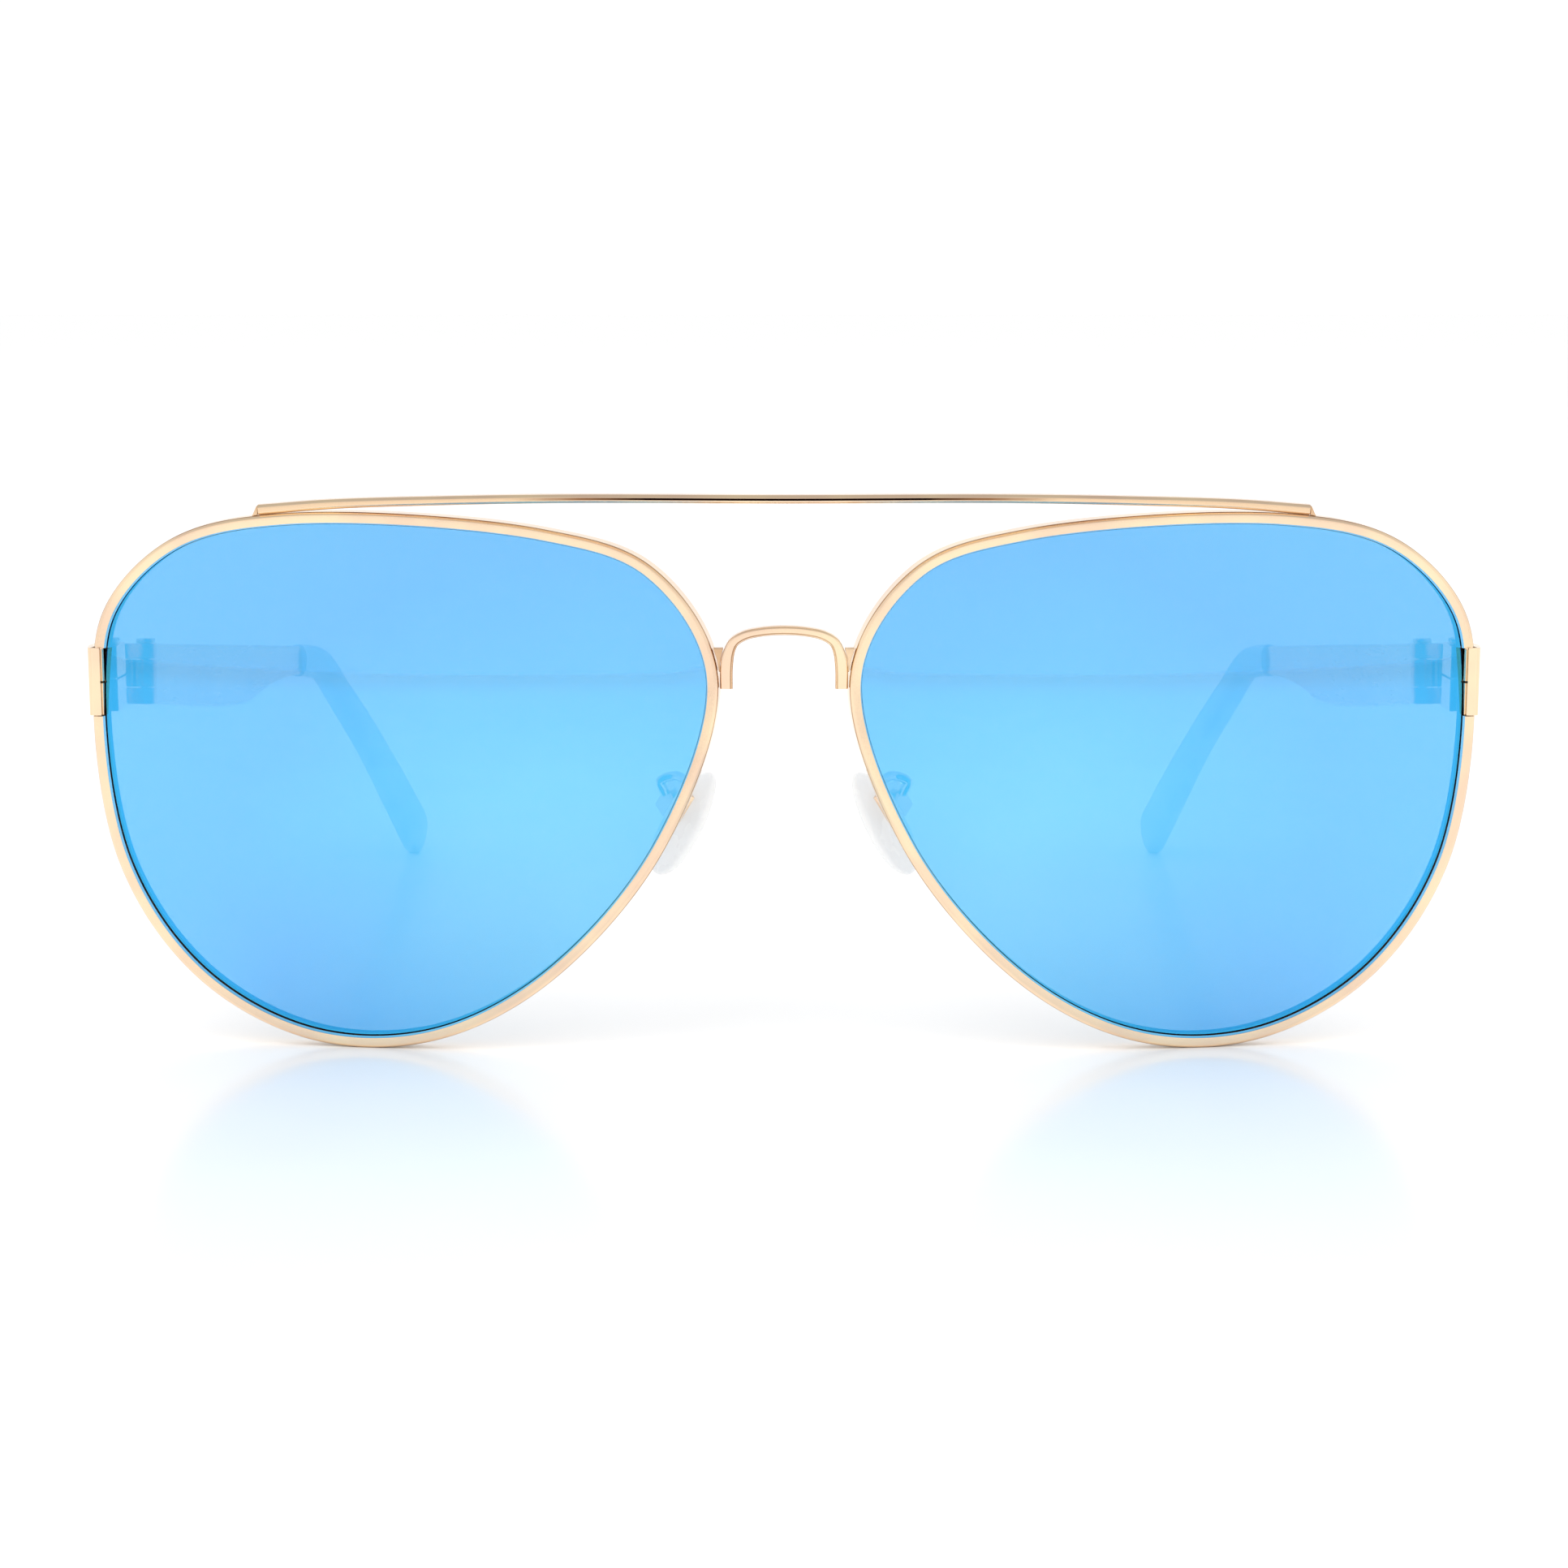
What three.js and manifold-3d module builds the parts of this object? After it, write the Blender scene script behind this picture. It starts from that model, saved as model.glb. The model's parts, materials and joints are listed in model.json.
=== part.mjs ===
// Aviator sunglasses, standing open on a table on their lower rims and temple tips.
// Millimetres, +Z up, +Y towards the wearer's ears, the front of the frame faces -Y.
// Everything is built once for the +X side and mirrored for the -X side.
import * as THREE from 'three';
import { mergeVertices } from 'three/addons/utils/BufferGeometryUtils.js';
import Module from 'manifold-3d';

const wasm = await Module();
wasm.setup();

const { Vector2, Vector3 } = THREE;
const vertical = new Vector3(0, 0, 1);
const backwards = new Vector3(0, 1, 0);
const rad = THREE.MathUtils.degToRad;

// ---- Driving dimensions ----------------------------------------------------------------------

const frontLean = rad(3); // the top of the front leans forward
const templeSlope = rad(5.815); // the temples fall towards their tips
const seatGap = 0.08; // clearance between soldered or clamped neighbours

// Eye: the lens sits in its own frame, turned back on the temporal side.
const eyeCentre = new Vector3(40.1, -0.5, 28.1);
const wrapAngle = rad(6);
const lensRadius = 115; // radius of the front curve
const lensThickness = 1.6;
const bevelHeight = 0.42; // how far the lens edge enters the groove
const lensInset = 0.12; // lens face ends this far inside the lip
const outlineSteps = 80;

// Lens outline seen from the front, outwards from the nose and up, from the hinge round the bottom.
const blockHeight = 9.9; // middle of the joint in the rim
const outlinePoints = [
  [31.25, blockHeight], [28.9, -8.9], [21.3, -20.3], [10.15, -26.25], [-2.05, -26.25],
  [-14.05, -20.25], [-26.5, -5.8], [-31.75, 11.6], [-25.7, 21.6], [-15.3, 25.3],
  [11.1, 26.65], [23.15, 23.85], [29.95, 17.2],
];

// Rim wire: width outwards from the visible lens edge, depth backwards from the lens face.
const rimWidth = 1.25;
const rimFront = -0.62;
const rimBack = 2.15;
const rimChamfer = 0.3;
const lipWidth = 0.16; // the slanted inner lips in front of and behind the lens
const lipDepthFront = 0.45;
const lipDepthBack = 0.4;
const grooveDepth = 0.58;
const rimOpenSteps = 1.5; // outline steps left open on each side of the joint

// Closing blocks, which clamp the open ends of the rim together behind the lens edge.
const blockFront = -0.42;
const blockBack = 5.0;
const blockInner = -0.75; // behind the lens the block reaches inside its edge
const blockLensGap = 0.3;
const blockGap = 0.2; // the split between the two blocks
const rimScrewPlace = [0.22, 3.6];
const rimScrewRadius = 0.42;
const rimScrewHead = { radius: 0.78, height: 0.5 };
const rimScrewTail = 0.2;
const screwClearance = 0.08;

// Brow bar: its centre line as [across, back, up] points, mirrored about the middle.
const barLine = [
  [0, -0.6, 57.98], [21.7, 0.3, 57.94], [34.5, 1.8, 57.58], [46.35, 3.7, 57.0], [53.85, 5.2, 56.25],
];
const barDepth = 1.7;
const barMiddleHeight = 0.88;
const barEndHeight = 1.08;
const barChamfer = 0.3;
const barFootLength = 0.6; // the wedge of solder that closes each end of the bar
const barFootDepth = 1.1;
const barFootTop = 0.12; // length of the wedge at its top

// Lower bridge: its centre line and its width at the foot and at the crown.
const archLine = [
  [5.9, 1.35, 38.35], [5.88, 1.3, 40.4], [5.72, 1.25, 41.75], [5.16, 1.1, 43.1], [4.07, 1.0, 43.83],
  [2.38, 0.92, 44.24], [0, 0.9, 44.4],
];
const archFootWidth = 1.3;
const archCrownWidth = 0.92;
const archCrownShare = 0.28; // share of the half arch that keeps its crown width
const archDepth = 1.5;
const archChamfer = 0.2;
// Solder between the foot of the bridge and the rim: its outline as [across, up] points.
const solderOutline = [
  [6.54, 40.08], [6.64, 40.08], [6.88, 41.43], [7.22, 42.48], [6.2, 42.48], [6.44, 41.58], [6.54, 40.78],
];
const solderDepth = 1.1;
const solderBack = 1.9;

// End piece: a plate wrapped round the closing blocks and carried back to the hinge.
const endHeight = 7.1;
const endMiddle = 38.4;
const endDrop = 0.4; // the back of the plate sits this much lower
const endOutline = [
  [71.05, 6.75], [71.95, 6.78], [72.28, 7.05], [72.45, 7.9], [72.75, 9.9], [72.85, 13], [72.7, 18.85],
  [71.6, 18.85], [71.55, 13], [71.8, 9.9], [72.02, 7.3], [71.8, 7.16], [71.05, 7.12],
];

// Hinge: three knuckles on an upright screw, inside the end piece.
const hingePlace = new Vector3(68.5, 19, 38.0);
const knuckleRadius = 1.35;
const knuckleBore = 0.62;
const hingeScrewRadius = 0.54;
const hingeScrewHead = { radius: 1.0, height: 0.5 };
const middleKnuckle = 1.45; // half height of the temple's knuckle
const knuckleGap = 0.1;
const hingeTop = 3.2;
const hingeBottom = -3.3;
const leafInner = 1.75;
const leafOuter = 2.85;
const leafLength = 5.2;
const leafStart = 0.2; // from the screw's axis to the leaf
const knuckleArmStart = 0.1;
const templeLeafHalf = 2.6; // half height of the temple's leaf

// Temple: centre line from the hinge as [length, across, up, height], in the hinge's frame.
const templeStart = 0.15;
const templeThickness = 1.1;
const templeLine = [
  [templeStart, 3.65, -0.05, 6.5], [8, 3.6, -0.1, 6.6], [26, 1.45, -0.3, 7.0], [46, -1.4, -0.5, 7.4],
  [54, -2.5, -0.3, 7.0], [62, -3.7, 0.55, 5.2], [70, -4.95, 1.1, 4.0], [76, -5.9, 1.25, 3.7],
];
const coreThickness = 1.1;
const coreHeight = 1.7;
// Ear bend and tip: [length, across, up, height, thickness] of the plastic sleeve.
const tipLine = [
  [76.2, -5.93, 1.25, 4.1, 2.3], [80, -6.55, 1.2, 4.2, 2.5], [85.5, -7.7, 0.45, 4.3, 2.7],
  [92, -9.25, -3.3, 4.4, 2.8], [101, -11.75, -9.3, 4.9, 2.9], [110, -13.95, -15.6, 6.0, 3.0],
  [119.6, -16.25, -22.55, 6.9, 3.0],
];
const tipEndAngles = [30, 55, 75].map(rad); // rings that round off the end
const tipSquareness = 0.75; // 1 is an ellipse, less is closer to a rectangle
const coreEnd = 108;
const coreClearance = 0.12;
const flatChamfer = 0.25; // of the blade and of the core wire

// Nose pad: its middle, its long axis down to the lower end, and the direction of its back edge.
const padCentre = new Vector3(10.6, 9.3, 22.6);
const padDown = new Vector3(5.6, 1.5, -9.55).normalize();
const padSplay = new Vector3(0.5, 0.866, 0);
const padHalfLength = 6.3;
const padHalfWidth = 3.5;
const padThickness = 1.7;
const padTaper = 0.16; // the upper end is narrower by this share
// The pad's outline shrinks towards both faces: [share of its size, share of its half thickness].
const padLevels = [
  [0.35, -1], [0.7, -0.9], [0.92, -0.6], [1, 0], [0.93, 0.55], [0.7, 0.8], [0.35, 0.85],
];
const padBoxSize = new Vector3(2.6, 3.2, 2.2); // along the screw, up the pad, out from the pad
const padBoxStart = 1.25; // from the pad's middle plane to the open side of the box
const padBoxLift = 2.0; // the box sits above the pad's middle
const padBoxWall = 0.6;
const padPivot = 0.95; // from the open side of the box to the screw
const padScrewRadius = 0.34;
const padScrewHead = { radius: 0.62, height: 0.4 };
const padStemSize = [1.0, 1.5];
const padStemEnd = 0.5; // how far the stem reaches past the screw
// The arm from the back of the rim: its start, then its last bend measured from the box.
const padArmStart = [[9.95, 2.5, 27.7], [10.2, 4.3, 28.1], [11.4, 6.0, 28.3]];
const padArmBend = new Vector3(0.5, -0.3, 1.4);
const padArmRadius = 0.5;
const padArmLift = 0.4;

// ---- Materials -------------------------------------------------------------------------------

function finish(color, metalness, roughness) {
  return new THREE.MeshStandardMaterial({ color, metalness, roughness });
}

const paint = {
  gold: () => finish(0xf0d2a0, 1, 0.2),
  solder: () => finish(0xf4dcae, 1, 0.35),
  screw: () => finish(0xe8d9bd, 1, 0.3),
  lens: () => finish(0x7cc8ff, 0.6, 0.05),
  pad: () => finish(0xf4f4f2, 0, 0.35),
  stem: () => finish(0xdedfe0, 0, 0.4),
  tip: () => finish(0xdfe6e8, 0, 0.3),
};

// ---- Geometry helpers ------------------------------------------------------------------------

function meshOf(name, geometry, material) {
  const mesh = new THREE.Mesh(geometry, material);
  mesh.name = name;
  return mesh;
}

function fromTriangles(points, index) {
  const geometry = new THREE.BufferGeometry().setFromPoints(points);
  geometry.setIndex(index);
  const corner = [0, 1, 2].map(() => new Vector3());
  let volume = 0;
  for (let i = 0; i < index.length; i += 3) {
    corner.forEach((c, k) => c.copy(points[index[i + k]]));
    volume += corner[0].dot(corner[1].cross(corner[2]));
  }
  if (volume < 0) geometry.setIndex(index.slice().reverse());
  geometry.computeVertexNormals();
  return geometry;
}

// A closed solid through rings of points, with a fan over each end.
function skin(rings) {
  const count = rings[0].length;
  const points = rings.flat();
  const index = [];
  for (let r = 0; r + 1 < rings.length; r++) {
    for (let i = 0; i < count; i++) {
      const a = r * count + i;
      const b = r * count + ((i + 1) % count);
      index.push(a, b, b + count, a, b + count, a + count);
    }
  }
  for (const end of [0, rings.length - 1]) {
    const middle = points.length;
    const centre = new Vector3();
    rings[end].forEach((p) => centre.add(p));
    points.push(centre.divideScalar(count));
    for (let i = 0; i < count; i++) {
      const a = end * count + i;
      const b = end * count + ((i + 1) % count);
      index.push(...(end === 0 ? [middle, b, a] : [middle, a, b]));
    }
  }
  return fromTriangles(points, index);
}

// A rectangle with cut corners, centred, as 8 points [across, along].
function chamferedBox(width, height, cut) {
  const [x, y] = [width / 2, height / 2];
  return [
    [x, y - cut], [x - cut, y], [cut - x, y], [-x, y - cut], [-x, cut - y], [cut - x, -y], [x - cut, -y],
    [x, cut - y],
  ];
}

const offset = (origin, side, u, up, v) => origin.clone().addScaledVector(side, u).addScaledVector(up, v);

// Sweeps sections along a curve. The section's second axis stays parallel to `axis`.
function sweep(curve, steps, axis, sectionAt) {
  const rings = [];
  for (let i = 0; i <= steps; i++) {
    const t = i / steps;
    const origin = curve.getPoint(t);
    const side = curve.getTangent(t).cross(axis).normalize();
    rings.push(sectionAt(t).map(([u, v]) => offset(origin, side, u, axis, v)));
  }
  return skin(rings);
}

function curveThrough(points, closed = false) {
  return new THREE.CatmullRomCurve3(points.map((p) => new Vector3(...p)), closed, 'centripetal');
}

function warp(geometry, move) {
  const place = geometry.attributes.position;
  const point = new Vector3();
  for (let i = 0; i < place.count; i++) {
    point.fromBufferAttribute(place, i);
    move(point);
    place.setXYZ(i, point.x, point.y, point.z);
  }
  return geometry;
}

function extruded(outline, depth, holes = []) {
  const shape = new THREE.Shape(outline.map((p) => new Vector2(...p)));
  for (const [x, y, radius] of holes) {
    shape.holes.push(new THREE.Path().absarc(x, y, radius, 0, 2 * Math.PI, true));
  }
  return new THREE.ExtrudeGeometry(shape, { depth, bevelEnabled: false, curveSegments: 8 });
}

function box(size, centre) {
  return new THREE.BoxGeometry(...size).translate(...centre);
}

// A cylinder along +Z from `start` to `end`.
function rod(radius, start, end, sides = 20) {
  return new THREE.CylinderGeometry(radius, radius, end - start, sides)
    .rotateX(Math.PI / 2)
    .translate(0, 0, (start + end) / 2);
}

function solid(geometry) {
  const bare = geometry.clone();
  bare.deleteAttribute('normal');
  bare.deleteAttribute('uv');
  const merged = mergeVertices(bare, 1e-4);
  return new wasm.Manifold(new wasm.Mesh({
    numProp: 3,
    vertProperties: new Float32Array(merged.attributes.position.array),
    triVerts: new Uint32Array(merged.index.array),
  }));
}

function join(...geometries) {
  return geometries.map(solid).reduce((whole, piece) => whole.add(piece));
}

function cut(whole, ...geometries) {
  return geometries.map(solid).reduce((rest, piece) => rest.subtract(piece), whole);
}

function geometryOf(manifold) {
  const mesh = manifold.getMesh();
  const geometry = new THREE.BufferGeometry();
  geometry.setAttribute('position', new THREE.BufferAttribute(new Float32Array(mesh.vertProperties), 3));
  geometry.setIndex([...mesh.triVerts]);
  geometry.computeVertexNormals();
  return geometry;
}

// A screw along +Z: shank from `start` to `end` and a slotted head above it.
function screwGeometry(radius, start, end, head) {
  const top = end + head.height;
  const shank = rod(radius, start, end + head.height / 2);
  const slot = box([head.radius * 2.4, head.radius * 0.3, head.height], [0, 0, top]);
  return geometryOf(cut(join(shank, rod(head.radius, end, top)), slot));
}

// ---- Lens outline ----------------------------------------------------------------------------

const outline = curveThrough(outlinePoints.map(([a, b]) => [a, 0, b]), true);
const sag = (a, b) => lensRadius - Math.sqrt(lensRadius ** 2 - a ** 2 - b ** 2);

// Point number `i` on the outline, moved outwards and backwards from the visible lens edge.
function edgePoint(i, outwards, deeper) {
  const u = (i + 0.5) / outlineSteps;
  const point = outline.getPointAt(u);
  const tangent = outline.getTangentAt(u);
  const out = new Vector3(-tangent.z, 0, tangent.x);
  const depth = sag(point.x, point.z) + deeper;
  point.addScaledVector(out, outwards);
  point.y = depth;
  return point;
}

const outlineIndex = Array.from({ length: outlineSteps }, (_, i) => i);

function rimGeometry() {
  const shoulder = rimWidth - rimChamfer;
  const section = [
    [0, rimFront + lipDepthFront], [lipWidth, rimFront], [shoulder, rimFront],
    [rimWidth, rimFront + rimChamfer], [rimWidth, rimBack - rimChamfer], [shoulder, rimBack],
    [lipWidth, rimBack], [0, rimBack - lipDepthBack], [grooveDepth, lensThickness / 2],
  ];
  const inside = outlineIndex.slice(1, outlineSteps - 1);
  return skin(inside.map((i) => section.map(([r, d]) => edgePoint(i, r, d))));
}

function lensGeometry() {
  const inner = (share, back) => outlineIndex.map((i) => {
    const point = edgePoint(i, -lensInset, 0).multiplyScalar(share);
    point.y = sag(point.x, point.z) + back;
    return point;
  });
  const edge = outlineIndex.map((i) => edgePoint(i, bevelHeight, lensThickness / 2));
  const shares = [0.25, 0.55, 0.8, 1];
  return skin([
    ...shares.map((share) => inner(share, 0)),
    edge,
    ...shares.slice().reverse().map((share) => inner(share, lensThickness)),
  ]);
}

// ---- Sub-parts of one side, in the eye's frame -----------------------------------------------

const jointEdge = edgePoint(-0.5, 0, 0); // lens edge at the middle of the joint in the rim
const jointHalf = outline.getLength() / outlineSteps * rimOpenSteps;

function closingBlock(upper) {
  const behindLens = lensThickness + blockLensGap;
  const section = [
    [0.05, blockFront + blockLensGap], [lipWidth, blockFront], [rimWidth, blockFront],
    [rimWidth, blockBack], [blockInner, blockBack], [blockInner, behindLens], [0.02, behindLens],
    [grooveDepth, lensThickness / 2],
  ];
  const height = jointHalf - blockGap / 2 - seatGap;
  const geometry = extruded(section, height, [[...rimScrewPlace, rimScrewRadius + screwClearance]]);
  const bottom = upper ? blockGap / 2 : -blockGap / 2 - height;
  return geometry.translate(jointEdge.x, jointEdge.y, blockHeight + bottom);
}

function rimScrew() {
  const [outwards, deeper] = rimScrewPlace;
  const geometry = screwGeometry(rimScrewRadius, -jointHalf - rimScrewTail, jointHalf, rimScrewHead);
  return geometry.translate(jointEdge.x + outwards, jointEdge.y + deeper, blockHeight);
}

// ---- Sub-parts of the front, in the leaning frame --------------------------------------------

function browBar() {
  const halves = [...barLine.slice(1).reverse().map(([x, y, z]) => [-x, y, z]), ...barLine];
  const sectionAt = (t) => {
    const height = THREE.MathUtils.lerp(barMiddleHeight, barEndHeight, (2 * t - 1) ** 2);
    return chamferedBox(height, barDepth, barChamfer);
  };
  return sweep(curveThrough(halves), 44, backwards, sectionAt);
}

function barFoot() {
  const [x, y, z] = barLine.at(-1);
  const top = z + barEndHeight / 2 - barChamfer / 2;
  const low = z - barEndHeight / 2;
  const start = x + seatGap;
  const toe = [start + barFootLength, low - barFootTop];
  const wedge = extruded([[start, low], toe, [start + barFootTop, top], [start, top]], barFootDepth);
  return wedge.rotateX(Math.PI / 2).translate(0, y + barFootDepth / 2 + 0.1, 0);
}

function bridgeArch() {
  const line = [...archLine.slice(0, -1).map(([x, y, z]) => [-x, y, z]), ...archLine.slice().reverse()];
  const sectionAt = (t) => {
    const fromCrown = Math.min(1, Math.abs(2 * t - 1) / (1 - archCrownShare));
    const width = THREE.MathUtils.lerp(archCrownWidth, archFootWidth, fromCrown ** 3);
    return chamferedBox(width, archDepth, archChamfer);
  };
  return sweep(curveThrough(line), 36, backwards, sectionAt);
}

function bridgeSolder() {
  return extruded(solderOutline, solderDepth).rotateX(Math.PI / 2).translate(0, solderBack, 0);
}

// ---- End piece and hinge ---------------------------------------------------------------------

function endPiece() {
  const back = endOutline[6][1];
  const front = endOutline[0][1];
  const geometry = extruded(endOutline, endHeight).translate(0, 0, -endHeight / 2);
  return warp(geometry, (p) => {
    const share = THREE.MathUtils.smoothstep(p.y, front + 3, back - 2);
    const up = p.z;
    p.y += up * THREE.MathUtils.lerp(-Math.tan(frontLean), Math.tan(templeSlope), share);
    p.z += endMiddle - endDrop * share;
  });
}

// A knuckle on the hinge axis with an arm out to the leaf. `way` is -1 for the front, +1 for the temple.
function knuckle(bottom, top, way) {
  const middle = (top + bottom) / 2;
  const length = knuckleRadius - knuckleArmStart;
  const centre = [leafOuter / 2, way * (knuckleArmStart + length / 2), middle];
  return join(rod(knuckleRadius, bottom, top), box([leafOuter, length, top - bottom], centre));
}

function hingeLeaf(bottom, top, way) {
  const centre = [(leafOuter + leafInner) / 2, way * (leafStart + leafLength / 2), (top + bottom) / 2];
  return box([leafOuter - leafInner, leafLength, top - bottom], centre);
}

function frontHinge() {
  const upper = knuckle(middleKnuckle + knuckleGap, hingeTop, -1);
  const lower = knuckle(hingeBottom, -middleKnuckle - knuckleGap, -1);
  const body = upper.add(lower).add(solid(hingeLeaf(hingeBottom, hingeTop, -1)));
  return geometryOf(cut(body, rod(knuckleBore, hingeBottom - 1, hingeTop + 1)));
}

function templeHinge() {
  const leaf = solid(hingeLeaf(-templeLeafHalf, templeLeafHalf, 1));
  const body = knuckle(-middleKnuckle, middleKnuckle, 1).add(leaf);
  return geometryOf(cut(body, rod(knuckleBore, hingeBottom - 1, hingeTop + 1)));
}

function hingeScrew() {
  return screwGeometry(hingeScrewRadius, hingeBottom, hingeTop + seatGap / 2, hingeScrewHead);
}

// ---- Temple, in the hinge's frame ------------------------------------------------------------

// Rings across a list of [length, across, up, height, thickness] stations.
function blade(stations, ringOf) {
  const line = curveThrough(stations.map(([length, across, up]) => [across, length, up]));
  const sizeOf = ([, , , height, thickness = templeThickness]) => [height, thickness, 0];
  const size = curveThrough(stations.map(sizeOf));
  const steps = (stations.length - 1) * 3;
  const rings = [];
  for (let i = 0; i <= steps; i++) {
    const t = i / steps;
    const along = line.getTangent(t);
    const side = along.clone().cross(vertical).normalize();
    const up = side.clone().cross(along).normalize();
    const at = line.getPoint(t);
    const { x: height, y: thickness } = size.getPoint(t);
    rings.push(ringOf(thickness, height).map(([u, v]) => offset(at, side, u, up, v)));
  }
  return rings;
}

function ovalRing(thickness, height) {
  const ring = [];
  for (let k = 0; k < 12; k++) {
    const angle = (k / 12) * 2 * Math.PI;
    const round = (value) => Math.sign(value) * Math.abs(value) ** tipSquareness;
    ring.push([round(Math.cos(angle)) * thickness / 2, round(Math.sin(angle)) * height / 2]);
  }
  return ring;
}

// The core wire inside the sleeve: from the end of the blade down into the tip.
const coreStations = [templeLine.at(-1), ...tipLine.slice(1)]
  .filter(([length]) => length < coreEnd)
  .map(([length, across, up]) => [length, across, up, coreHeight, coreThickness]);

function coreRings(growth) {
  return blade(coreStations, () => chamferedBox(coreThickness + growth, coreHeight + growth, flatChamfer));
}

function templeBlade() {
  const plate = blade(templeLine, (thickness, height) => chamferedBox(thickness, height, flatChamfer));
  return skin([...plate, ...coreRings(0)]);
}

function templeTip() {
  const rings = blade(tipLine, ovalRing);
  const end = tipLine.at(-1);
  const before = tipLine.at(-2);
  const along = new Vector3(end[1] - before[1], end[0] - before[0], end[2] - before[2]).normalize();
  const last = rings.at(-1);
  const centre = last.reduce((sum, p) => sum.add(p), new Vector3()).divideScalar(last.length);
  for (const angle of tipEndAngles) {
    const ring = last.map((p) => p.clone().sub(centre).multiplyScalar(Math.cos(angle)));
    rings.push(ring.map((p) => p.add(centre).addScaledVector(along, Math.sin(angle) * end[3] / 2)));
  }
  const bore = coreRings(2 * coreClearance);
  const mouth = bore[0].map((p) => p.clone().add(new Vector3(0.1, -1, 0)));
  return geometryOf(cut(solid(skin(rings)), skin([mouth, ...bore])));
}

// ---- Nose pad, in its own frame: X along the screw, Y up the pad, Z out towards the rim ------

function padFrame() {
  const up = padDown.clone().negate();
  const width = padSplay.clone().addScaledVector(up, -padSplay.dot(up)).normalize();
  const out = width.clone().cross(up);
  const frame = new THREE.Group();
  frame.quaternion.setFromRotationMatrix(new THREE.Matrix4().makeBasis(width, up, out));
  frame.position.copy(padCentre);
  frame.updateMatrix();
  return frame;
}

// A drop-shaped cushion, narrower at its upper end.
function nosePad() {
  const sides = 24;
  const ring = (share, z) => Array.from({ length: sides }, (_, k) => {
    const angle = (k / sides) * 2 * Math.PI;
    const y = Math.sin(angle);
    const x = Math.cos(angle) * (1 - padTaper * y);
    return new Vector3(x * padHalfWidth * share, y * padHalfLength * share, z);
  });
  return skin(padLevels.map(([share, level]) => ring(share, level * padThickness / 2)));
}

const pivotOut = padBoxStart + padPivot;
const alongScrew = (geometry) => geometry.rotateY(Math.PI / 2).translate(0, padBoxLift, pivotOut);
const padScrewHole = () => alongScrew(rod(padScrewRadius + screwClearance, -2, 2, 14));

function padStem() {
  const start = padThickness / 2 + seatGap;
  const end = pivotOut + padStemEnd;
  const tab = box([...padStemSize, end - start], [0, padBoxLift, (start + end) / 2]);
  return geometryOf(cut(solid(tab), padScrewHole()));
}

function padBox() {
  const { x, y, z } = padBoxSize;
  const middle = padBoxStart + z / 2;
  const shell = box([x, y, z], [0, padBoxLift, middle]);
  const room = [x - 2 * padBoxWall, y - 4 * padBoxWall / 3, z];
  const hollow = box(room, [0, padBoxLift, middle - padBoxWall]);
  return geometryOf(cut(solid(shell), hollow, padScrewHole()));
}

function padScrew() {
  const half = padBoxSize.x / 2;
  return alongScrew(screwGeometry(padScrewRadius, -half, half + seatGap / 2, padScrewHead));
}

// The arm from the back of the rim to the box, in the leaning frame.
function padArm(boxBack) {
  const line = curveThrough([...padArmStart, boxBack.clone().add(padArmBend), boxBack]);
  const round = new THREE.Shape().absarc(0, 0, padArmRadius, 0, 2 * Math.PI);
  return new THREE.ExtrudeGeometry(round, { steps: 22, extrudePath: line, curveSegments: 10 });
}

// ---- Assembly --------------------------------------------------------------------------------

const sunglasses = new THREE.Group();
const front = new THREE.Group();
front.rotation.x = frontLean;
front.position.y = 40 * Math.sin(frontLean);
sunglasses.add(front);
front.add(meshOf('brow_bar', browBar(), paint.gold()));
front.add(meshOf('bridge_arch', bridgeArch(), paint.gold()));

function addSide(side, sign) {
  const name = (piece) => `${side}_${piece}`;

  const leaning = new THREE.Group();
  leaning.scale.x = sign;
  front.add(leaning);
  leaning.add(meshOf(name('bar_foot'), barFoot(), paint.solder()));
  leaning.add(meshOf(name('bridge_solder'), bridgeSolder(), paint.solder()));

  const eye = new THREE.Group();
  eye.position.copy(eyeCentre);
  eye.rotation.z = wrapAngle;
  leaning.add(eye);
  eye.add(meshOf(name('rim'), rimGeometry(), paint.gold()));
  eye.add(meshOf(name('lens'), lensGeometry(), paint.lens()));
  eye.add(meshOf(name('closing_block_upper'), closingBlock(true), paint.gold()));
  eye.add(meshOf(name('closing_block_lower'), closingBlock(false), paint.gold()));
  eye.add(meshOf(name('rim_screw'), rimScrew(), paint.screw()));

  const pad = padFrame();
  leaning.add(pad);
  pad.add(meshOf(name('nose_pad'), nosePad(), paint.pad()));
  pad.add(meshOf(name('pad_stem'), padStem(), paint.stem()));
  pad.add(meshOf(name('pad_box'), padBox(), paint.gold()));
  pad.add(meshOf(name('pad_screw'), padScrew(), paint.screw()));
  const armEnd = new Vector3(0, padBoxLift + padArmLift, padBoxStart + padBoxSize.z + 4 * seatGap);
  leaning.add(meshOf(name('pad_arm'), padArm(armEnd.applyMatrix4(pad.matrix)), paint.gold()));

  const upright = new THREE.Group();
  upright.scale.x = sign;
  sunglasses.add(upright);
  upright.add(meshOf(name('end_piece'), endPiece(), paint.gold()));

  const hinge = new THREE.Group();
  hinge.position.copy(hingePlace);
  hinge.rotation.x = -templeSlope;
  upright.add(hinge);
  hinge.add(meshOf(name('front_hinge'), frontHinge(), paint.gold()));
  hinge.add(meshOf(name('temple_hinge'), templeHinge(), paint.gold()));
  hinge.add(meshOf(name('hinge_screw'), hingeScrew(), paint.screw()));
  hinge.add(meshOf(name('temple'), templeBlade(), paint.gold()));
  hinge.add(meshOf(name('temple_tip'), templeTip(), paint.tip()));
}

addSide('right', 1);
addSide('left', -1);

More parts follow.
